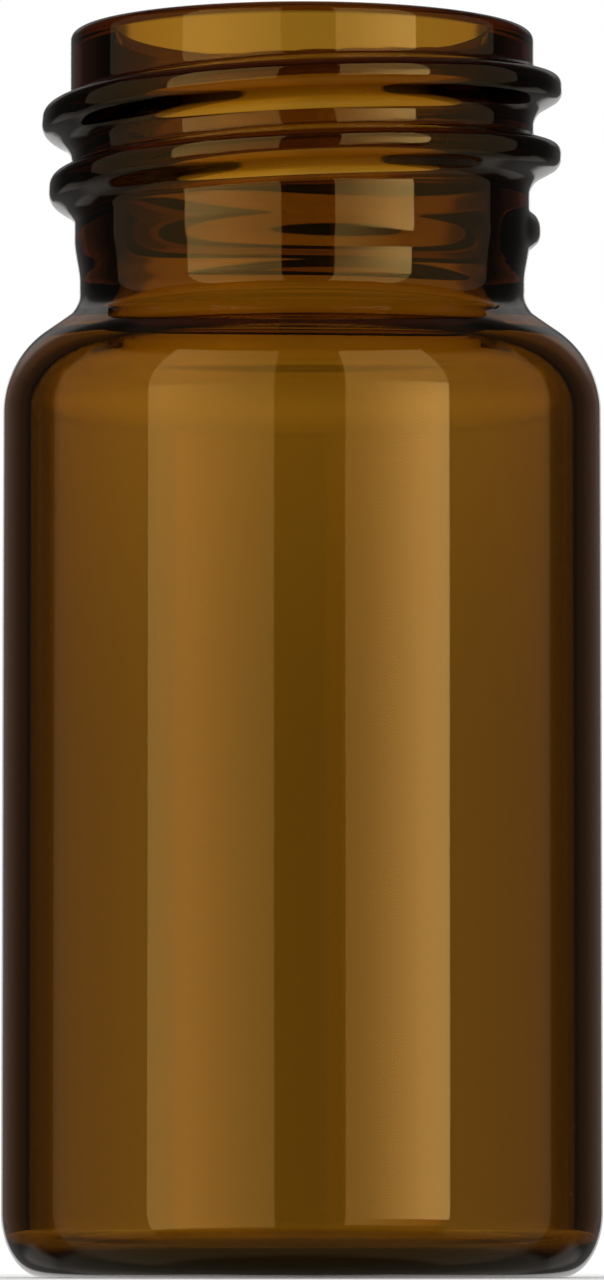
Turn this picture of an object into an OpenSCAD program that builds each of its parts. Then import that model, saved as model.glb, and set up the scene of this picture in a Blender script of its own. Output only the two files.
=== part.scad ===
// Screw-neck sample vial: one piece of amber glass with a domed base, a round
// shoulder and a coarse right-handed thread on its neck. Millimetres, +Z up.
// The origin is the middle of the ring that the vial stands on.

/* [Body] */
// Outside diameter of the body
body_d = 27.5; // [22:0.5:40]
// Height from the foot to the top of the lip
vial_h = 57.25; // [35:0.25:95]
// Thickness of the side wall
wall = 1.25; // [0.8:0.05:1.8]

/* [Base] */
// Width of the rounded heel, from the side inwards
heel_w = 1.95; // [1:0.05:3]
// Height of the rounded heel
heel_h = 3; // [1.5:0.1:5]
// Width of the flat ring that the vial stands on
foot_w = 1.2; // [0.5:0.1:2.5]
// Rise of the underside's dome above the foot
punt_h = 1.4; // [0.5:0.1:2]
// Thickness of the glass over the dome
base_t = 1.3; // [1:0.05:3]
// Radius of the inside corner between the floor and the wall
floor_r = 1.25; // [0.6:0.05:3]

/* [Shoulder] */
// Radius of the shoulder's outer curve
shoulder_r = 4.35; // [3:0.05:7]
// Angle that the shoulder's curve turns through before it runs straight
shoulder_a = 55; // [40:1:70]
// Radius of the outer corner where the shoulder meets the neck
throat_out_r = 1.4; // [0.4:0.1:2]
// Radius of the inner corner where the shoulder meets the mouth
throat_in_r = 3.2; // [0.5:0.1:4]

/* [Neck] */
// Diameter of the neck at the lip
neck_d = 21.4; // [17:0.1:25]
// Thickness of the neck's wall at the lip
neck_wall = 2.1; // [1.5:0.05:3]
// Depth by which the neck stands back below its collar
collar_in = 0.2; // [0:0.05:0.4]
// Height from the top of the waist to the foot of the collar
collar_clear = 1.95; // [0.5:0.05:3]
// Height over which the neck widens to its collar
collar_rise = 2.6; // [1:0.1:4]
// Depth of the waist at the foot of the neck
waist_in = 0.24; // [0:0.02:0.5]
// Height of the straight part of the waist
waist_h = 0.55; // [0.1:0.05:1.5]
// Height over which the waist widens to the neck
waist_rise = 2; // [0.6:0.1:3]
// Rounding of the lip's outer edge
lip_out_r = 0.5; // [0.2:0.05:0.8]
// Rounding of the lip's inner edge
lip_in_r = 0.4; // [0.2:0.05:0.6]

/* [Thread] */
// Height of the thread above the neck
thread_h = 1.3; // [0.8:0.05:1.6]
// Rise of the thread in one turn
thread_pitch = 3.175; // [2.8:0.005:4]
// Turns of the thread, with its run-in and its run-out
thread_turns = 2.36; // [1.5:0.01:3]
// Share of a turn over which the lower end rises
thread_in = 0.16; // [0.1:0.01:0.4]
// Share of a turn over which the upper end sinks
thread_out = 0.22; // [0.1:0.01:0.4]
// Share of its height that the thread lacks at its lower end, and gains in a turn
thread_thin = 0.22; // [0:0.02:0.4]
// Angle round the neck, from +X, at which the lower end begins
thread_start_a = -32; // [-180:1:180]
// Depth from the top of the lip to the crest at the thread's upper end
thread_drop = 1.77; // [1.5:0.01:4]
// Height from the foot of the neck to the crest at the thread's lower end
thread_clear = 2.89; // [2:0.01:6]
// Radius of the crest's two rounded edges
crest_r = 0.6; // [0.4:0.05:0.8]
// Width of the flat between those edges
crest_w = 0.2; // [0:0.05:0.5]
// Slope of the upper flank, from level
flank_up_a = 18; // [5:1:40]
// Slope of the lower flank, from level
flank_low_a = 30; // [20:1:45]

/* [Hidden] */
$fn = 96;
// Sections of the thread in one turn
thread_facets = 48;
// Depth to which the ridge sinks into the neck at its two ends
thread_sink = 0.35;

// Points along an arc about c, from angle a0 to a1, in n steps.
function arc(c, r, a0, a1, n) =
    [for (i = [0 : n]) let (a = a0 + (a1 - a0) * i / n) c + r * [cos(a), sin(a)]];

// Points along a quarter of an ellipse, from its lowest point out and up.
function heel_arc(c, w, h, n) =
    [for (i = [0 : n]) let (a = -90 + 90 * i / n) c + [w * cos(a), h * sin(a)]];

// Smooth step, from 0 at t = 0 and below to 1 at t = 1 and above.
function ease(t) =
    let (u = max(0, min(1, t)))
    u * u * (3 - 2 * u);

// Height of the centre of a corner of radius r on a wall at x, for the straight
// run that leaves the shoulder's curve at start.
function throat_z(start, x, r) =
    let (run = (start[0] - x - r * (1 - cos(shoulder_a))) / sin(shoulder_a))
    start[1] + run * cos(shoulder_a) + r * sin(shoulder_a);

body_r = body_d / 2;
inner_r = body_r - wall;
neck_r = neck_d / 2;
mouth_r = neck_r - neck_wall;
waist_r = neck_r - collar_in - waist_in;

// Underside: a shallow dome inside the foot ring, and a floor parallel to it.
foot_out_r = body_r - heel_w;
foot_in_r = foot_out_r - foot_w;
punt_r = (foot_in_r * foot_in_r + punt_h * punt_h) / (2 * punt_h);
dome_c = [0, punt_h - punt_r];
floor_dome_r = punt_r + base_t;
corner_x = inner_r - floor_r;
corner_z = dome_c[1] + sqrt(pow(floor_dome_r + floor_r, 2) - corner_x * corner_x);
corner_a = atan2(corner_z - dome_c[1], corner_x);

// Neck: its foot leaves room for the whole thread below the lip.
neck_h = thread_drop + thread_pitch * thread_turns + thread_clear;
neck_foot_z = vial_h - neck_h;
waist_z = neck_foot_z + waist_h;
collar_z = waist_z + waist_rise + collar_clear;

// Shoulder: a curve, then a straight run into the foot of the neck. The curve
// is no larger than the step between the body and the neck allows.
curve_share = 1 - cos(shoulder_a);
curve_out_r = min(shoulder_r, (body_r - waist_r) / curve_share - throat_out_r);
curve_in_r = curve_out_r - wall;
curve_end = [cos(shoulder_a), sin(shoulder_a)];
curve_x = body_r - curve_out_r;
curve_z = neck_foot_z - throat_z([curve_x, 0] + curve_out_r * curve_end, waist_r, throat_out_r);
curve_c = [curve_x, curve_z];
run_in = curve_c + curve_in_r * curve_end;
mouth_foot_r = min(throat_in_r, (run_in[0] - mouth_r) / curve_share);
mouth_foot_z = throat_z(run_in, mouth_r, mouth_foot_r);

// Thread: its root lies in the middle of the neck's wall.
thread_root_r = neck_r - neck_wall / 2;
thread_top_z = vial_h - thread_drop;
thread_steps = round(thread_facets * thread_turns);

// Radius of the outside of the neck at height z: it widens twice on its way up,
// over its waist and into its collar.
function neck_at(z) =
    neck_r - waist_in * (1 - ease((z - waist_z) / waist_rise))
           - collar_in * (1 - ease((z - collar_z) / collar_rise));

// Outline of the outside, from the middle of the underside up to the lip.
function outer_side() = concat(
    arc(dome_c, punt_r, 90, acos(foot_in_r / punt_r), 10),
    heel_arc([foot_out_r, heel_h], heel_w, heel_h, 14),
    arc(curve_c, curve_out_r, 0, shoulder_a, 14),
    arc([waist_r + throat_out_r, neck_foot_z], throat_out_r, 180 + shoulder_a, 180, 5),
    [for (i = [0 : 8]) let (z = waist_z + waist_rise * i / 8) [neck_at(z), z]],
    [for (i = [0 : 8]) let (z = collar_z + collar_rise * i / 8) [neck_at(z), z]],
    arc([neck_r - lip_out_r, vial_h - lip_out_r], lip_out_r, 0, 90, 6));

// Outline of the inside, from the lip down to the middle of the floor.
function inner_side() = concat(
    arc([mouth_r + lip_in_r, vial_h - lip_in_r], lip_in_r, 90, 180, 5),
    arc([mouth_r + mouth_foot_r, mouth_foot_z], mouth_foot_r, 180, 180 + shoulder_a, 8),
    arc(curve_c, curve_in_r, shoulder_a, 0, 10),
    arc([corner_x, corner_z], floor_r, 0, corner_a - 180, 10),
    [for (i = [1 : 10]) let (a = corner_a + (90 - corner_a) * i / 10)
        dome_c + floor_dome_r * [cos(a), sin(a)]]);

// Outline of the ridge as [outwards from the neck, up], from root to root: two
// flanks that run on into the wall, and a crest with a round edge to each.
function ridge() =
    let (x = thread_h - crest_r,
         root = thread_root_r - neck_r,
         below = arc([x, -crest_w / 2], crest_r, flank_low_a - 90, 0, 4),
         above = arc([x, crest_w / 2], crest_r, 0, 90 - flank_up_a, 4),
         low = below[0],
         high = above[4])
    concat([[root, low[1] - (low[0] - root) * tan(flank_low_a)]],
           below,
           above,
           [[root, high[1] + (high[0] - root) * tan(flank_up_a)]]);

// Height of the ridge at step i as a share of its full height.
function fade(i) =
    ease(i / (thread_in * thread_facets))
    * ease((thread_steps - i) / (thread_out * thread_facets))
    * (1 - thread_thin * (1 - ease(i / thread_facets)));

// One section of the thread: its crest narrows and sinks into the neck as it
// fades, and its root stays where it is.
function thread_section(i) =
    let (a = thread_start_a + 360 * thread_turns * i / thread_steps,
         z = thread_top_z - thread_pitch * thread_turns * (1 - i / thread_steps),
         f = fade(i),
         outline = ridge(),
         last = len(outline) - 1)
    [for (j = [0 : last])
        let (p = outline[j],
             rooted = j == 0 || j == last,
             up = z + p[1] * (1 + f) / 2,
             r = rooted ? thread_root_r : neck_at(up) + p[0] * f - thread_sink * (1 - f))
        [r * cos(a), r * sin(a), up]];

// Faces of a tube through rings of n points each, closed at both ends.
function tube_faces(rings, n) = concat(
    [[for (j = [n - 1 : -1 : 0]) j]],
    [for (i = [0 : rings - 2], j = [0 : n - 1])
        let (k = (j + 1) % n) each [
            [i * n + j, i * n + k, (i + 1) * n + k],
            [i * n + j, (i + 1) * n + k, (i + 1) * n + j]]],
    [[for (j = [0 : n - 1]) (rings - 1) * n + j]]);

module shell() {
    rotate_extrude()
        polygon(concat(outer_side(), inner_side()));
}

module thread() {
    rings = [for (i = [0 : thread_steps]) thread_section(i)];
    polyhedron([for (r = rings) each r], tube_faces(len(rings), len(rings[0])));
}

module vial() {
    color([0.42, 0.27, 0.08]) {
        union() {
            shell();
            thread();
        }
    }
}

vial();
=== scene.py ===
"""A screw-neck sample vial in amber glass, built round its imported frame.

The vial is one closed glass surface: a domed base, a straight wall, a round shoulder and a
neck with a coarse right-handed thread. Its sizes are in millimetres, and its mesh and the
studio round it are in metres.
"""

import logging
import math
from dataclasses import dataclass
from enum import Enum

import bpy
import numpy as np
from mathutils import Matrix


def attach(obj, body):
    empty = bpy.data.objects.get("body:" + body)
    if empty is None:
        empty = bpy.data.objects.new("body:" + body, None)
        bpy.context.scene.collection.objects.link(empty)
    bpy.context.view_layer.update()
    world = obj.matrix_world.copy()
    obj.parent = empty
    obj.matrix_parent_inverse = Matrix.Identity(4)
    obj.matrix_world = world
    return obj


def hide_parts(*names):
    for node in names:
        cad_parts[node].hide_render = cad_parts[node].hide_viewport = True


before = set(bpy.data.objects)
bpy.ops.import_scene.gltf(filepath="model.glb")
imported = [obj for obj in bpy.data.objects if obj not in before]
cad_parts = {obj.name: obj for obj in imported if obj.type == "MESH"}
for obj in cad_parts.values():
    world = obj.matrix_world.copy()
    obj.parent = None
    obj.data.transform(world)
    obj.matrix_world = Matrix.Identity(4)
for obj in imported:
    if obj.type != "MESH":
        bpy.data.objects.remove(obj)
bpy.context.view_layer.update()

MM = 0.001
TURN = 2.0 * math.pi
DEGREES = 180.0 / math.pi
Socket = bpy.types.NodeSocket
Flat = tuple[float, float] | np.ndarray
Place = tuple[float, float, float]
Colour = tuple[float, float, float]

log = logging.getLogger("vial")


# ---------------------------------------------------------------- curves


def ease(t: np.ndarray | float) -> np.ndarray:
    """Return a smooth step: 0 below t = 0, 1 above t = 1, and t squared times (3 - 2t) between."""
    t = np.clip(t, 0.0, 1.0)
    return t * t * (3.0 - 2.0 * t)


def arc(centre: Flat, radius: float, start: float, end: float, count: int,
        height: float | None = None) -> np.ndarray:
    """Walk along a circle's arc, or an ellipse's.

    A point at angle a is the centre plus (radius cos a, height sin a).

    Args:
        centre: The centre as (out from the axis, up).
        radius: The radius, or the ellipse's half width.
        start: The first angle in degrees.
        end: The last angle in degrees.
        count: The number of steps.
        height: The ellipse's half height, or None for a circle.

    Returns:
        An array of count + 1 points.
    """
    a = np.radians(np.linspace(start, end, count + 1))
    rise = radius if height is None else height
    return np.column_stack([centre[0] + radius * np.cos(a), centre[1] + rise * np.sin(a)])


def line(start: Flat, end: Flat, count: int) -> np.ndarray:
    """Return count - 1 points between two ends, neither included, closer near the ends."""
    t = ease(np.linspace(0.0, 1.0, count + 1)[1:-1, None])
    return np.array(start) * (1.0 - t) + np.array(end) * t


# ---------------------------------------------------------------- meshes


def round_quads(rows: int, columns: int) -> np.ndarray:
    """Join a grid of points that closes from its last column to its first.

    Point (i, j) is number i times the columns, plus j. Face (i, j) goes from its own point
    along the row, then to the next row and back.

    Args:
        rows: The number of rows.
        columns: The number of columns.

    Returns:
        An array of faces of 4 points.
    """
    i, j = np.meshgrid(np.arange(rows - 1), np.arange(columns), indexing="ij")
    low, high = i * columns, (i + 1) * columns
    k = (j + 1) % columns
    return np.stack([low + j, low + k, high + k, high + j], -1).reshape(-1, 4)


def fan(centre: int, first: int, columns: int) -> np.ndarray:
    """Join a closed row of points, numbered from first, to one centre point.

    Args:
        centre: The centre point's number.
        first: The number of the row's first point.
        columns: The number of points in the row.

    Returns:
        An array of faces of 3 points.
    """
    j = np.arange(columns)
    return np.stack([np.full(columns, centre), first + j, first + (j + 1) % columns], -1)


def linked(name: str, data: bpy.types.ID) -> bpy.types.Object:
    """Make an object from its data and link it into the scene.

    Args:
        name: The object's name.
        data: Its mesh, light or camera.

    Returns:
        The object, at the origin.
    """
    made = bpy.data.objects.new(name, data)
    bpy.context.scene.collection.objects.link(made)
    return made


def mesh_object(name: str, verts: np.ndarray, faces: list[list[int]]) -> bpy.types.Object:
    """Put a surface into a mesh and its object into the scene, shaded smooth.

    Args:
        name: The object's name.
        verts: The points in metres.
        faces: The faces, each a list of points, anticlockwise seen from outside.

    Returns:
        The object, at the origin.
    """
    mesh = bpy.data.meshes.new(name)
    mesh.from_pydata(verts, [], faces)
    mesh.validate()
    mesh.polygons.foreach_set("use_smooth", np.ones(len(mesh.polygons), bool))
    mesh.update()
    return linked(name, mesh)


# ---------------------------------------------------------------- shaders


@dataclass
class Sketch:
    """A short hand for building a node tree."""

    tree: bpy.types.NodeTree

    def node(self, kind: str, inputs: dict | None = None, **settings: object) -> bpy.types.Node:
        """Add a node.

        Args:
            kind: The node's type.
            inputs: Values or sockets for its inputs, by name or number.
            settings: The node's own properties.

        Returns:
            The node.
        """
        made = self.tree.nodes.new(kind)
        for key, value in settings.items():
            setattr(made, key, value)
        for key, value in (inputs or {}).items():
            self.put(value, made.inputs[key])
        return made

    def put(self, value: object, socket: Socket) -> None:
        """Link a socket to an input, or set the input's own value.

        Args:
            value: The socket to link, or the value to set.
            socket: The input.
        """
        if isinstance(value, Socket):
            self.tree.links.new(value, socket)
        else:
            socket.default_value = value

    def math(self, operation: str, *values: object) -> Socket:
        """Return the output of a Math node on the given values."""
        made = self.node("ShaderNodeMath", dict(enumerate(values)), operation=operation)
        return made.outputs[0]

    def place(self) -> Socket:
        """Return the point's own place in its object."""
        return self.node("ShaderNodeTexCoord").outputs["Object"]

    def steps(self, value: Socket, start: float, end: float, low: float = 0.0,
              high: float = 1.0) -> Socket:
        """Return a smooth step of value, from low at start to high at end."""
        made = self.node("ShaderNodeMapRange",
                         {"Value": value, "From Min": start, "From Max": end,
                          "To Min": low, "To Max": high}, interpolation_type="SMOOTHSTEP")
        return made.outputs[0]

    def band(self, value: Socket, start: float, end: float, soft: float) -> Socket:
        """Mask a stretch: 1 from start to end, with a smooth step over soft about each end.

        Args:
            value: What the stretch is measured in.
            start: Where the stretch starts.
            end: Where it ends.
            soft: The width of each step.

        Returns:
            The mask.
        """
        rise = self.steps(value, start - soft / 2.0, start + soft / 2.0)
        fall = self.steps(value, end - soft / 2.0, end + soft / 2.0, 1.0, 0.0)
        return self.math("MULTIPLY", rise, fall)


def sketch_of(made: bpy.types.Material | bpy.types.World) -> Sketch:
    """Switch a new material or world to nodes and empty its tree.

    Args:
        made: The material or the world.

    Returns:
        A sketch of its tree.
    """
    made.use_nodes = True
    made.node_tree.nodes.clear()
    return Sketch(made.node_tree)


def sketch_group(name: str, inputs: dict[str, float], output: str) -> Sketch:
    """Start a shader node group with named numbers for inputs and one number for output.

    Args:
        name: The group's name.
        inputs: Each input's name and its usual value.
        output: The output's name.

    Returns:
        A sketch of the group's tree.
    """
    tree = bpy.data.node_groups.new(name, "ShaderNodeTree")
    kind = "NodeSocketFloat"
    for key, value in inputs.items():
        made = tree.interface.new_socket(name=key, in_out="INPUT", socket_type=kind)
        made.default_value = value
    tree.interface.new_socket(name=output, in_out="OUTPUT", socket_type=kind)
    return Sketch(tree)


@dataclass(frozen=True)
class FormingMarks:
    """Group: what the forming leaves in the glass, drawn lines and a slow wave, as a height."""

    name: str = "forming marks"
    lines: float = 1.0
    waves: float = 1.0
    line_scale: Place = (900.0, 900.0, 22.0)
    line_detail: float = 2.0
    line_roughness: float = 0.5
    wave_scale: float = 130.0
    wave_detail: float = 1.0

    def group(self) -> bpy.types.NodeTree:
        """Build the group: noise stretched along the axis for lines, and soft noise for waves.

        Returns:
            The group, with inputs Lines and Waves and the output Height.
        """
        s = sketch_group(self.name, {"Lines": self.lines, "Waves": self.waves}, "Height")
        given = s.node("NodeGroupInput")
        place = s.place()
        drawn = s.node("ShaderNodeMapping", {"Vector": place, "Scale": self.line_scale})
        lines = s.node("ShaderNodeTexNoise", {
            "Vector": drawn.outputs[0], "Scale": 1.0, "Detail": self.line_detail,
            "Roughness": self.line_roughness})
        waves = s.node("ShaderNodeTexNoise", {
            "Vector": place, "Scale": self.wave_scale, "Detail": self.wave_detail})
        a = s.math("MULTIPLY", lines.outputs[0], given.outputs["Lines"])
        b = s.math("MULTIPLY", waves.outputs[0], given.outputs["Waves"])
        s.node("NodeGroupOutput", {"Height": s.math("ADD", a, b)})
        return s.tree


@dataclass(frozen=True)
class Dust:
    """Group: fine specks of dust, as a mask of small round dots."""

    name: str = "dust"
    scale: float = 700.0
    size: float = 0.1
    amount: float = 0.1

    def group(self) -> bpy.types.NodeTree:
        """Build the group: cells whose random value is low hold a small round speck.

        A speck is 1 at its cell's middle and falls to 0 at Size, in cells.

        Returns:
            The group, with inputs Scale, Size and Amount and the output Mask.
        """
        s = sketch_group(self.name, {"Scale": self.scale, "Size": self.size,
                                     "Amount": self.amount}, "Mask")
        given = s.node("NodeGroupInput")
        cells = s.node("ShaderNodeTexVoronoi", {"Vector": s.place(),
                                                "Scale": given.outputs["Scale"]})
        chance = s.node("ShaderNodeSeparateColor", {"Color": cells.outputs["Color"]})
        held = s.math("LESS_THAN", chance.outputs[0], given.outputs["Amount"])
        reach = s.math("DIVIDE", cells.outputs["Distance"], given.outputs["Size"])
        near = s.math("MAXIMUM", s.math("SUBTRACT", 1.0, reach), 0.0)
        s.node("NodeGroupOutput", {"Mask": s.math("MULTIPLY", held, near)})
        return s.tree


@dataclass(frozen=True)
class AmberGlass:
    """Fire-polished amber glass that takes its colour from its thickness."""

    marks: FormingMarks = FormingMarks()
    dust: Dust = Dust()
    index: float = 1.52
    absorbed: Colour = (605.0, 966.0, 2200.0)
    density: float = 2300.0
    sheen_tint: Colour = (1.0, 0.635, 0.185)
    clean: Colour = (1.0, 0.985, 0.95)
    dusty: Colour = (0.55, 0.5, 0.42)
    clean_roughness: float = 0.004
    dusty_roughness: float = 0.25
    mark_strength: float = 0.5
    mark_depth: float = 0.000004

    def material(self) -> bpy.types.Material:
        """Build the material.

        Each colour is taken by (1 - colour) times the density for each metre of glass.

        Returns:
            The material.
        """
        made = bpy.data.materials.new("amber glass")
        s = sketch_of(made)
        marks = s.node("ShaderNodeGroup", node_tree=self.marks.group())
        dust = s.node("ShaderNodeGroup", node_tree=self.dust.group())
        rough = s.steps(dust.outputs["Mask"], 0.0, 1.0,
                        self.clean_roughness, self.dusty_roughness)
        colour = s.node("ShaderNodeMix", {
            "Factor": dust.outputs["Mask"], "A": (*self.clean, 1.0),
            "B": (*self.dusty, 1.0)}, data_type="RGBA")
        bump = s.node("ShaderNodeBump", {
            "Height": marks.outputs["Height"], "Strength": self.mark_strength,
            "Distance": self.mark_depth})
        glass = s.node("ShaderNodeBsdfPrincipled", {
            "Base Color": colour.outputs["Result"], "Roughness": rough,
            "Normal": bump.outputs[0], "IOR": self.index, "Transmission Weight": 1.0,
            "Specular Tint": (*self.sheen_tint, 1.0)})
        clear = tuple(1.0 - a / self.density for a in self.absorbed)
        depth = s.node("ShaderNodeVolumeAbsorption", {
            "Color": (*clear, 1.0), "Density": self.density})
        s.node("ShaderNodeOutputMaterial", {
            "Surface": glass.outputs[0], "Volume": depth.outputs[0]})
        return made


@dataclass(frozen=True)
class PalePaper:
    """The matt pale sheet that the vial stands on. Lengths are in metres."""

    colour: Colour = (0.86, 0.86, 0.855)
    near: float = 0.03
    far: float = 0.12
    roughness: float = 0.95
    gloss: float = 0.1
    cloud_shade: float = 0.985
    cloud_scale: float = 9.0
    cloud_detail: float = 3.0
    cloud_edges: Flat = (0.3, 0.7)

    def material(self) -> bpy.types.Material:
        """Build the material: a matt white with a faint cloudiness, seen white far out.

        Returns:
            The material.
        """
        made = bpy.data.materials.new("pale paper")
        s = sketch_of(made)
        place = s.place()
        cloud = s.node("ShaderNodeTexNoise", {
            "Vector": place, "Scale": self.cloud_scale, "Detail": self.cloud_detail})
        dull = tuple(self.cloud_shade * v for v in self.colour)
        colour = s.node("ShaderNodeMix", {
            "Factor": s.steps(cloud.outputs[0], *self.cloud_edges), "A": (*dull, 1.0),
            "B": (*self.colour, 1.0)}, data_type="RGBA")
        paper = s.node("ShaderNodeBsdfPrincipled", {
            "Base Color": colour.outputs["Result"], "Roughness": self.roughness,
            "Specular IOR Level": self.gloss})
        white = s.node("ShaderNodeEmission", {"Strength": 1.0})
        reach = s.node("ShaderNodeVectorMath", {0: place}, operation="LENGTH").outputs["Value"]
        ray = s.node("ShaderNodeLightPath").outputs
        in_glass = s.math("MAXIMUM", ray["Is Glossy Ray"], ray["Is Transmission Ray"])
        seen = s.math("MAXIMUM", ray["Is Camera Ray"], in_glass)
        share = s.math("MULTIPLY", s.steps(reach, self.near, self.far), seen)
        both = s.node("ShaderNodeMixShader", {0: share, 1: paper.outputs[0],
                                              2: white.outputs[0]})
        s.node("ShaderNodeOutputMaterial", {"Surface": both.outputs[0]})
        return made


# ---------------------------------------------------------------- the vial


@dataclass(frozen=True)
class Ridge:
    """The thread's section: two flanks with rounded roots and a round crest, in millimetres."""

    height: float = 1.3
    crest_radius: float = 0.6
    crest_flat: float = 0.2
    upper_slope: float = 18.0
    lower_slope: float = 30.0
    upper_root: float = 0.20
    lower_root: float = 0.90
    pitch: float = 3.175
    root_steps: int = 24
    crest_steps: int = 48
    bend_weight: float = 0.45

    def outline(self) -> np.ndarray:
        """Trace one pitch of the thread, from root to root.

        The crest is two arcs about (height - crest radius, -/+ half the flat). Each flank is
        the tangent to its arc at that flank's slope from level, and a concave arc tangent to
        the flank and to the neck rounds its root.

        Returns:
            Points as (out from the neck, up from the crest).
        """
        c = self.crest_radius
        cx = self.height - c
        low, up = math.radians(self.lower_slope), math.radians(self.upper_slope)
        half = self.crest_flat / 2.0
        low_root = -half - c / math.cos(low) - cx * math.tan(low)
        up_root = half + c / math.cos(up) + cx * math.tan(up)
        rl, ru = self.lower_root, self.upper_root
        low_z = low_root + rl * (math.sin(low) - 1.0) / math.cos(low)
        up_z = up_root + ru * (1.0 - math.sin(up)) / math.cos(up)
        middle = (low_z + up_z) / 2.0
        return np.vstack([
            [[0.0, middle - self.pitch / 2.0]],
            arc((rl, low_z), rl, 180.0, 90.0 + self.lower_slope, self.root_steps),
            arc((cx, -half), c, self.lower_slope - 90.0, 0.0, self.crest_steps),
            arc((cx, half), c, 0.0, 90.0 - self.upper_slope, self.crest_steps),
            arc((ru, up_z), ru, 270.0 - self.upper_slope, 180.0, self.root_steps),
            [[0.0, middle + self.pitch / 2.0]],
        ])

    def table(self) -> tuple[np.ndarray, np.ndarray]:
        """Spread the outline over 0 to 1 so that its bends get more of the rows.

        Each step counts as its length plus the bend weight times the angle it turns through.

        Returns:
            The share of the pitch at each point, and the points.
        """
        points = self.outline()
        steps = np.diff(points, axis=0)
        length = np.hypot(steps[:, 0], steps[:, 1])
        way = np.unwrap(np.arctan2(steps[:, 1], steps[:, 0]))
        bend = np.abs(np.diff(way, prepend=way[0]))
        weight = np.concatenate([[0.0], np.cumsum(length + self.bend_weight * bend)])
        return weight / weight[-1], points


@dataclass(frozen=True)
class Thread:
    """Where the ridge runs on the neck: its turns, its ends and its rise, in millimetres."""

    ridge: Ridge = Ridge()
    turns: float = 2.36
    start_angle: float = -32.0
    top: float = 55.48
    start_turns: float = 0.16
    end_turns: float = 0.22
    thin: float = 0.22
    sink: float = 0.35
    soften: float = 0.08
    rows_per_pitch: int = 35

    def place(self, height: np.ndarray, angle: np.ndarray) -> tuple[np.ndarray, np.ndarray]:
        """Carry the ridge round the neck.

        A row's height over the crest's helix, in pitches, says where it is in the ridge's
        outline, and its whole part says which turn it is on. The outline's own shift out
        and up there, times the run-out's smooth fade, is what moves the point. As the ridge
        fades it sinks, and a smooth maximum, half of h plus the root of h squared and a
        small square, keeps it from dipping below the neck.

        Args:
            height: Even heights of the rows.
            angle: Angles round the neck in radians, from -pi to pi.

        Returns:
            The height at which each point ends, and how far it stands out from the neck.
        """
        share, points = self.ridge.table()
        pitch, first = self.ridge.pitch, points[0, 1]
        start = math.radians(self.start_angle)
        helix = self.top - pitch * self.turns + pitch * (angle - start) / TURN
        cell = (height - helix - first) / pitch
        turn = np.floor(cell)
        u = cell - turn
        along = (angle - start) / TURN + turn
        fade = ease(along / self.start_turns) * ease((self.turns - along) / self.end_turns)
        fade *= 1.0 - self.thin * (1.0 - ease(along))
        shift = np.interp(u, share, points[:, 1]) - (first + pitch * u)
        out = fade * np.interp(u, share, points[:, 0]) - self.sink * (1.0 - fade)
        out = (out + np.sqrt(out**2 + (self.soften * (1.0 - fade))**2)) / 2.0
        return height + fade * shift, np.where(fade > 0.0, out, 0.0)


@dataclass(frozen=True)
class Steps:
    """How many steps each stretch of the outline is cut into."""

    dome: int = 18
    foot: int = 5
    heel: int = 26
    side: int = 12
    shoulder: int = 26
    shoulder_run: int = 3
    throat: int = 14
    lip_outer: int = 10
    lip_top: int = 3
    lip_inner: int = 9
    mouth: int = 26
    mouth_foot: int = 18
    shoulder_inner: int = 20
    floor_corner: int = 18
    floor: int = 16


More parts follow.
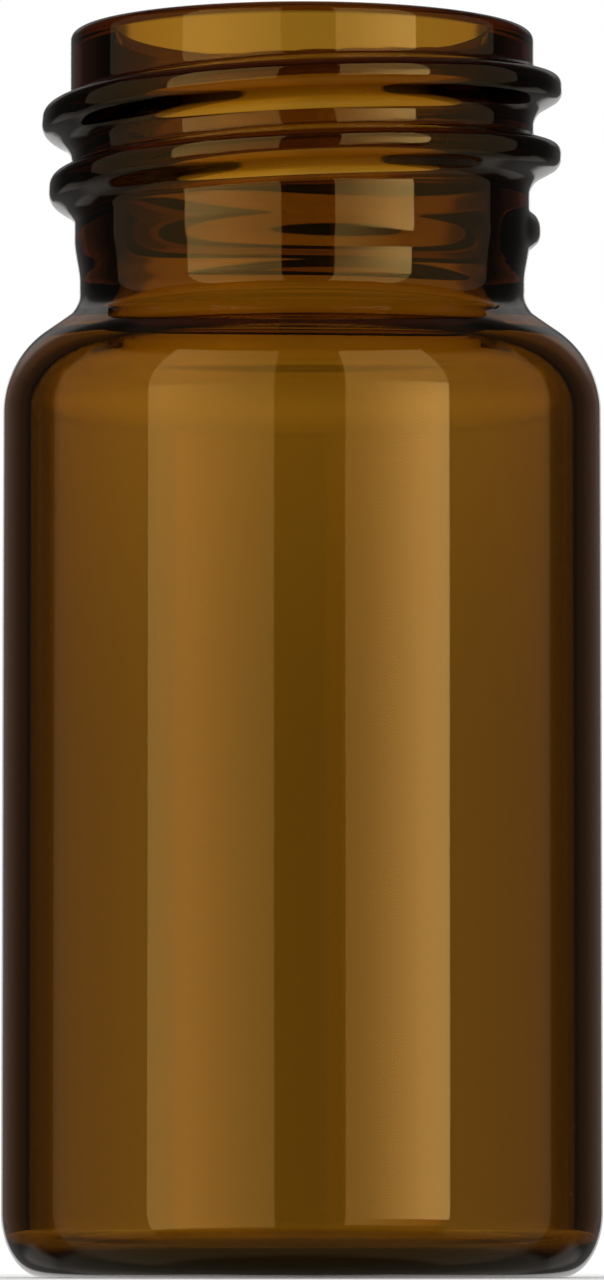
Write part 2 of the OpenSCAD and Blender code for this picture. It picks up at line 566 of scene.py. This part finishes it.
@dataclass(frozen=True)
class Profile:
    """The vial's outline, in millimetres. Its foot stands at height 0 and its axis is at 0."""

    body_radius: float = 13.75
    height: float = 57.25
    wall: float = 1.25
    heel_width: float = 1.95
    heel_height: float = 3.0
    foot_width: float = 1.2
    foot_strip: float = 0.35
    dome_rise: float = 1.4
    base_thickness: float = 1.3
    floor_corner: float = 1.25
    shoulder_radius: float = 4.35
    shoulder_turn: float = 55.0
    throat_outer: float = 1.4
    throat_inner: float = 3.2
    neck_radius: float = 10.7
    collar_depth: float = 0.2
    collar_foot: float = 49.6
    collar_rise: float = 2.6
    mouth_radius: float = 8.6
    neck_foot: float = 45.0974
    waist_depth: float = 0.24
    waist_straight: float = 0.55
    waist_rise: float = 2.0
    lip_outer: float = 0.5
    lip_inner: float = 0.4
    steps: Steps = Steps()

    def waist_radius(self) -> float:
        """Return the radius of the waist, where the neck is narrowest."""
        return self.neck_radius - self.collar_depth - self.waist_depth

    def foot_radius(self) -> float:
        """Return the inner radius of the ring that the vial stands on."""
        return self.body_radius - self.heel_width - self.foot_width

    def dome_radius(self) -> float:
        """Return the radius of the sphere that the dome under the base is a cap of."""
        return (self.foot_radius()**2 + self.dome_rise**2) / (2.0 * self.dome_rise)

    def throat_height(self, start: Flat, wall_x: float, radius: float) -> float:
        """Return the height of the throat corner's centre, at the end of a straight run.

        Args:
            start: Where the shoulder's straight run starts, as (out, up).
            wall_x: The radius of the wall that the corner ends on.
            radius: The corner's own radius.

        Returns:
            The height at which an arc of that radius is tangent to both.
        """
        a = math.radians(self.shoulder_turn)
        run = (start[0] - wall_x - radius * (1.0 - math.cos(a))) / math.sin(a)
        return start[1] + run * math.cos(a) + radius * math.sin(a)

    def shoulder(self) -> tuple[Flat, float]:
        """Place the shoulder's curve so that its straight run meets the foot of the neck.

        Returns:
            The curve's centre as (out, up), and the height of the centre of the corner
            between the shoulder's inside and the mouth.
        """
        a = math.radians(self.shoulder_turn)
        x = self.body_radius - self.shoulder_radius
        out = (x + self.shoulder_radius * math.cos(a), self.shoulder_radius * math.sin(a))
        z = self.neck_foot - self.throat_height(out, self.waist_radius(), self.throat_outer)
        r = self.shoulder_radius - self.wall
        inside = (x + r * math.cos(a), z + r * math.sin(a))
        return (x, z), self.throat_height(inside, self.mouth_radius, self.throat_inner)

    def underside(self) -> np.ndarray:
        """Trace the dome under the base and the inner strip of the ring that it stands on.

        The dome is an arc about a point on the axis, and the strip is level.

        Returns:
            Points as (out, up).
        """
        foot, r = self.foot_radius(), self.dome_radius()
        edge = math.degrees(math.acos(foot / r))
        dome = arc((0.0, self.dome_rise - r), r, 90.0, edge, self.steps.dome)
        dome[:, 1] = np.maximum(dome[:, 1], 0.0)
        t = np.linspace(0.0, 1.0, self.steps.foot + 1)[1:]
        strip = np.column_stack([foot + self.foot_strip * t, np.zeros_like(t)])
        return np.vstack([dome[:-1], strip])

    def outside(self) -> np.ndarray:
        """Trace the outside from the ring that it stands on up to the foot of the neck.

        A quarter of an ellipse, a straight wall, an arc, a straight run tangent to it and
        an arc that curves the other way into the neck.

        Returns:
            Points as (out, up).
        """
        centre, _ = self.shoulder()
        a, n = self.shoulder_turn, self.steps
        ellipse = (self.body_radius - self.heel_width, self.heel_height)
        throat = (self.waist_radius() + self.throat_outer, self.neck_foot)
        heel = arc(ellipse, self.heel_width, -90.0, 0.0, n.heel, self.heel_height)
        curve = arc(centre, self.shoulder_radius, 0.0, a, n.shoulder)
        corner = arc(throat, self.throat_outer, 180.0 + a, 180.0, n.throat)
        return np.vstack([heel, line(heel[-1], curve[0], n.side), curve,
                          line(curve[-1], corner[0], n.shoulder_run), corner])

    def neck(self, height: np.ndarray) -> np.ndarray:
        """Work out the neck's radius: two smooth steps outwards, at its waist and its collar.

        Args:
            height: The heights.

        Returns:
            The radius at each height.
        """
        waist = ease((height - self.neck_foot - self.waist_straight) / self.waist_rise)
        collar = ease((height - self.collar_foot) / self.collar_rise)
        return (self.neck_radius - self.waist_depth * (1.0 - waist)
                - self.collar_depth * (1.0 - collar))

    def lip(self) -> np.ndarray:
        """Trace the lip's outer rounding, its flat top and its inner rounding.

        Returns:
            Points as (out, up).
        """
        outer = (self.neck_radius - self.lip_outer, self.height - self.lip_outer)
        inner = (self.mouth_radius + self.lip_inner, self.height - self.lip_inner)
        first = arc(outer, self.lip_outer, 0.0, 90.0, self.steps.lip_outer)
        last = arc(inner, self.lip_inner, 90.0, 180.0, self.steps.lip_inner)
        return np.vstack([first, line(first[-1], last[0], self.steps.lip_top), last])

    def inside(self) -> np.ndarray:
        """Trace the inside from below the lip down the neck and the wall to the floor.

        The floor is an arc about the dome's own centre, and the corner between it and the
        wall is an arc that is tangent to both.

        Returns:
            Points as (out, up).
        """
        centre, mouth_foot = self.shoulder()
        a, n = self.shoulder_turn, self.steps
        top = (self.mouth_radius, self.height - self.lip_inner)
        throat = (self.mouth_radius + self.throat_inner, mouth_foot)
        corner = arc(throat, self.throat_inner, 180.0, 180.0 + a, n.mouth_foot)
        curve = arc(centre, self.shoulder_radius - self.wall, a, 0.0, n.shoulder_inner)
        dome_z = self.dome_rise - self.dome_radius()
        floor_r = self.dome_radius() + self.base_thickness
        x = self.body_radius - self.wall - self.floor_corner
        z = dome_z + math.sqrt((floor_r + self.floor_corner)**2 - x**2)
        meet = math.degrees(math.atan2(z - dome_z, x))
        bend = arc((x, z), self.floor_corner, 0.0, meet - 180.0, n.floor_corner)
        floor = arc((0.0, dome_z), floor_r, meet, 90.0, n.floor)
        return np.vstack([line(top, corner[0], n.mouth), corner, curve,
                          line(curve[-1], bend[0], n.side), bend, floor[1:]])


@dataclass(frozen=True)
class GlassVial:
    """The whole vial: one closed surface of revolution with a thread carried round it."""

    profile: Profile = Profile()
    thread: Thread = Thread()
    glass: AmberGlass = AmberGlass()
    columns: int = 264

    def rows(self) -> tuple[np.ndarray, np.ndarray]:
        """Lay out every row of the surface from the middle of the underside to the floor.

        Returns:
            The rows as (out, up), and a mask of those that carry the thread.
        """
        p = self.profile
        lip = p.lip()
        step = self.thread.ridge.pitch / self.thread.rows_per_pitch
        first, last = p.neck_foot, float(lip[0, 1])
        count = int(round((last - first) / step))
        z = np.linspace(first, last, count + 1)[1:-1]
        neck = np.column_stack([p.neck(z), z])
        below = np.vstack([p.underside(), p.outside()[1:]])
        above = np.vstack([lip, p.inside()])
        mask = np.zeros(len(below) + len(neck) + len(above), bool)
        mask[len(below):len(below) + len(neck)] = True
        return np.vstack([below, neck, above]), mask

    def points(self) -> np.ndarray:
        """Work out the surface as a function of the row and the angle round the axis.

        A point is (r cos a, r sin a, z) for its row's r and z, and on the neck's rows the
        thread adds to both.

        Returns:
            An array of rows by columns by 3, in millimetres.
        """
        rows, threaded = self.rows()
        angle = -math.pi + TURN * np.arange(self.columns) / self.columns
        r = np.repeat(rows[:, :1], self.columns, axis=1)
        z = np.repeat(rows[:, 1:], self.columns, axis=1)
        height, out = self.thread.place(z[threaded], angle[None, :])
        z[threaded] = height
        r[threaded] = self.profile.neck(height) + out
        return np.stack([r * np.cos(angle), r * np.sin(angle), z], axis=-1)

    def build(self) -> bpy.types.Object:
        """Make the mesh and dress it: a grid closed round the axis, with a fan at each pole.

        Returns:
            The piece's object, at the origin.
        """
        grid = self.points()
        poles = grid[0].mean(axis=0), grid[-1].mean(axis=0)
        grid = grid[1:-1]
        rows, n = grid.shape[:2]
        verts = np.vstack([grid.reshape(-1, 3), *poles]) * MM
        bottom = rows * n
        under = fan(bottom, 0, n)[:, [0, 2, 1]]
        over = fan(bottom + 1, bottom - n, n)
        faces = round_quads(rows, n).tolist() + under.tolist() + over.tolist()
        made = mesh_object("glass_vial", verts, faces)
        self.dress(made)
        return made

    def dress(self, piece: bpy.types.Object) -> None:
        """Give the vial its glass."""
        piece.data.materials.append(self.glass.material())


# ---------------------------------------------------------------- studio


class Side(Enum):
    """The side that a panel's azimuths are counted from: the sign of y on that side."""

    BACK = 1.0
    FRONT = -1.0


@dataclass(frozen=True)
class Panel:
    """A lit panel of the studio, as seen from the vial.

    Its four edges are angles in degrees: azimuths from the middle of its side, positive
    towards +X, and elevations. Its strength runs from start at its left edge to end at its
    right. Its sides fade over soft degrees, and its foot and top over soft_top. Below
    rise_start it is lower times as strong, and from rise_end up it has its full strength.
    A panel with behind set lights only rays that leave the glass through its surface.
    """

    side: Side
    left: float
    right: float
    low: float
    high: float
    start: float
    end: float
    soft: float
    soft_top: float
    lower: float = 1.0
    behind: bool = False
    rise_start: float = 3.0
    rise_end: float = 8.0

    def light(self, s: Sketch, azimuth: dict[Side, Socket], elevation: Socket,
              through: Socket) -> Socket:
        """Work out the panel's strength by direction.

        Args:
            s: The tree to build in.
            azimuth: The direction's azimuth counted from each side.
            elevation: The direction's elevation.
            through: 1 for a ray that leaves the glass by passing its surface.

        Returns:
            The strength.
        """
        across = azimuth[self.side]
        mask = s.math("MULTIPLY", s.band(across, self.left, self.right, self.soft),
                      s.band(elevation, self.low, self.high, self.soft_top))
        level = s.steps(across, self.left, self.right, self.start, self.end)
        rise = s.steps(elevation, self.rise_start, self.rise_end, self.lower, 1.0)
        total = s.math("MULTIPLY", s.math("MULTIPLY", mask, level), rise)
        return s.math("MULTIPLY", total, through) if self.behind else total


@dataclass(frozen=True)
class Lamp:
    """A square soft lamp that faces the vial and shows only in its light.

    Its place and the length of its side are in metres, and its power is in watts.
    """

    name: str
    place: Place
    size: float
    power: float

    def build(self) -> None:
        """Hang the lamp."""
        data = bpy.data.lights.new(self.name, "AREA")
        data.size, data.energy = self.size, self.power
        made = linked(self.name, data)
        made.location = self.place
        made.rotation_euler = (-made.location).to_track_quat("-Z", "Y").to_euler()
        for ray in ("camera", "glossy", "transmission"):
            setattr(made, f"visible_{ray}", False)


@dataclass(frozen=True)
class Viewpoint:
    """The camera in front of the vial, a little above its foot and tilted up.

    Its place and its clipping distances are in metres, its tilt in degrees, and its lens and
    sensor in millimetres.
    """

    place: Place = (0.0, -0.400, 0.001)
    tilt: float = 4.03
    lens: float = 245.7
    sensor: float = 36.0
    nearest: float = 0.01
    farthest: float = 50.0

    def build(self) -> None:
        """Set up the camera and make it the scene's own."""
        data = bpy.data.cameras.new("camera")
        data.sensor_fit, data.sensor_width, data.lens = "AUTO", self.sensor, self.lens
        data.clip_start, data.clip_end = self.nearest, self.farthest
        made = linked("camera", data)
        made.location = self.place
        made.rotation_euler = (math.radians(90.0 + self.tilt), 0.0, 0.0)
        bpy.context.scene.camera = made


@dataclass(frozen=True)
class Studio:
    """The studio round the vial: a pale floor, a white surround, panels and soft lamps.

    The floor's radius and its drop below the vial's foot are in metres. The fill lights matt
    surfaces, and the dim is what the glass sees where there is no panel.
    """

    floor_radius: float = 6.0
    floor_drop: float = 0.00002
    floor_rings: int = 24
    floor_spokes: int = 96
    fill: float = 0.8
    dim: float = 0.03
    paper: PalePaper = PalePaper()
    camera: Viewpoint = Viewpoint()
    lamps: tuple[Lamp, ...] = (
        Lamp("key lamp", (-0.7, -0.6, 1.1), 0.9, 5.0),
        Lamp("fill lamp", (0.9, -0.3, 1.0), 0.9, 2.5),
    )
    panels: tuple[Panel, ...] = (
        # The bright sheet behind the vial: its lower part, in two halves, and its upper part.
        Panel(Side.BACK, -13.2, -1.5, -50.0, 10.0, 1.3, 1.2, 4.0, 6.0, lower=0.55),
        Panel(Side.BACK, -1.5, 13.2, -50.0, 10.0, 0.88, 1.25, 4.0, 6.0, lower=0.55),
        Panel(Side.BACK, -13.2, -1.5, 10.0, 37.0, 1.15, 1.05, 4.0, 6.0, behind=True),
        Panel(Side.BACK, -1.5, 13.2, 10.0, 37.0, 0.75, 1.05, 4.0, 6.0, behind=True),
        Panel(Side.BACK, -13.2, 13.2, 37.0, 54.0, 0.8, 0.8, 2.0, 6.0, behind=True),
        # A weak glow in its place, for what the shoulder and the ridges reflect.
        Panel(Side.BACK, -27.0, 27.0, 14.0, 42.0, 0.17, 0.17, 8.0, 8.0),
        # The grey surround on both sides of the sheet.
        Panel(Side.BACK, -40.0, -13.2, -90.0, 45.0, 0.06, 0.28, 4.0, 4.0, behind=True),
        Panel(Side.BACK, 13.2, 40.0, -90.0, 45.0, 0.26, 0.05, 4.0, 4.0, behind=True),
        Panel(Side.BACK, -45.0, -13.2, -50.0, 60.0, 0.0, 0.09, 4.0, 4.0),
        Panel(Side.BACK, 13.2, 45.0, -50.0, 60.0, 0.08, 0.0, 4.0, 4.0),
        # Two low patches that light the corners of the heel.
        Panel(Side.BACK, -46.0, -25.0, -30.0, -15.0, 0.2, 0.2, 8.0, 6.0),
        Panel(Side.BACK, 25.0, 46.0, -30.0, -15.0, 0.2, 0.2, 8.0, 6.0),
        # The left window, which draws the left light strip.
        Panel(Side.FRONT, -61.0, -10.5, -19.0, 6.2, 2.4, 1.25, 0.6, 1.0),
        Panel(Side.FRONT, -61.0, -10.5, 6.2, 7.4, 3.0, 1.3, 0.6, 1.0),
        Panel(Side.FRONT, -61.0, -10.5, 7.4, 45.0, 1.9, 1.1, 0.6, 1.0),
        # The right window, weak at its foot and its top, which would dazzle from behind.
        Panel(Side.FRONT, 16.5, 58.0, -16.5, -9.0, 1.35, 0.3, 0.6, 1.0),
        Panel(Side.FRONT, 16.5, 58.0, -9.0, 6.2, 1.35, 5.2, 0.6, 1.0),
        Panel(Side.FRONT, 16.5, 58.0, 6.2, 7.4, 1.7, 4.6, 0.6, 1.0),
        Panel(Side.FRONT, 16.5, 58.0, 7.4, 10.0, 1.7, 4.2, 0.6, 1.0),
        Panel(Side.FRONT, 16.5, 58.0, 10.0, 45.0, 1.7, 1.9, 0.6, 1.0),
        # The dark gap between the windows, and the room on both sides of them.
        Panel(Side.FRONT, -10.5, 16.5, -16.5, 45.0, 0.06, 0.06, 0.6, 1.0),
        Panel(Side.FRONT, -110.0, -61.0, -26.0, 40.0, 0.22, 0.38, 1.0, 4.0),
        Panel(Side.FRONT, 58.0, 110.0, -26.0, 40.0, 0.36, 0.2, 1.0, 4.0),
        # The room below the windows, the ground and the ceiling.
        Panel(Side.FRONT, -110.0, 110.0, -60.0, -26.0, 0.22, 0.22, 15.0, 8.0),
        Panel(Side.FRONT, -200.0, 200.0, -91.0, -31.0, 0.15, 0.15, 1.0, 6.0),
        Panel(Side.FRONT, -200.0, 200.0, 52.0, 91.0, 0.06, 0.06, 1.0, 10.0),
    )

    def world(self) -> None:
        """Make the world.

        The camera sees plain white. Rays that the glass reflects or bends see the panels by
        the direction in which they leave, and matt surfaces see an even fill.
        """
        made = bpy.data.worlds.new("studio")
        bpy.context.scene.world = made
        s = sketch_of(made)
        way = s.node("ShaderNodeTexCoord").outputs["Generated"]
        x, y, z = s.node("ShaderNodeSeparateXYZ", {"Vector": way}).outputs[:3]
        azimuth = {}
        for side in Side:
            turn = s.math("ARCTAN2", x, s.math("MULTIPLY", y, side.value))
            azimuth[side] = s.math("MULTIPLY", turn, DEGREES)
        elevation = s.math("MULTIPLY", s.math("ARCSINE", z), DEGREES)
        ray = s.node("ShaderNodeLightPath").outputs
        through = ray["Is Transmission Ray"]
        total = self.dim
        for panel in self.panels:
            total = s.math("ADD", total, panel.light(s, azimuth, elevation, through))
        in_glass = s.math("MAXIMUM", ray["Is Glossy Ray"], through)
        plain = s.node("ShaderNodeMix", {"Factor": ray["Is Camera Ray"],
                                         "A": self.fill, "B": 1.0}).outputs[0]
        level = s.node("ShaderNodeMix", {"Factor": in_glass, "A": plain, "B": total}).outputs[0]
        white = s.node("ShaderNodeBackground", {"Color": (1.0, 1.0, 1.0, 1.0),
                                                "Strength": level})
        s.node("ShaderNodeOutputWorld", {"Surface": white.outputs[0]})

    def floor(self) -> bpy.types.Object:
        """Make the floor: a disc whose point at (u, v) is at radius u squared and angle v.

        Returns:
            The floor.
        """
        rings, spokes = self.floor_rings, self.floor_spokes
        r = self.floor_radius * (np.arange(1, rings + 1) / rings)**2
        a = TURN * np.arange(spokes) / spokes
        x, y = r[:, None] * np.cos(a), r[:, None] * np.sin(a)
        grid = np.stack([x, y, np.full_like(x, -self.floor_drop)], -1).reshape(-1, 3)
        verts = np.vstack([grid, [[0.0, 0.0, -self.floor_drop]]])
        quads = round_quads(rings, spokes)[:, ::-1]
        middle = fan(rings * spokes, 0, spokes)
        made = mesh_object("floor", verts, quads.tolist() + middle.tolist())
        made.data.materials.append(self.paper.material())
        made.visible_glossy = False
        return made

    def build(self) -> None:
        """Make the floor, the world, the lamps and the camera."""
        self.floor()
        self.world()
        for lamp in self.lamps:
            lamp.build()
        self.camera.build()
        bpy.context.scene.view_settings.view_transform = "Standard"


def main() -> None:
    """Build the vial and its studio, and report each piece."""
    logging.basicConfig(level=logging.INFO, format="%(name)s: %(message)s")
    vial = GlassVial().build()
    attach(vial, "root")
    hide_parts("vial")
    log.info("%s: %d faces", vial.name, len(vial.data.polygons))
    Studio().build()


if __name__ == "__main__":
    main()
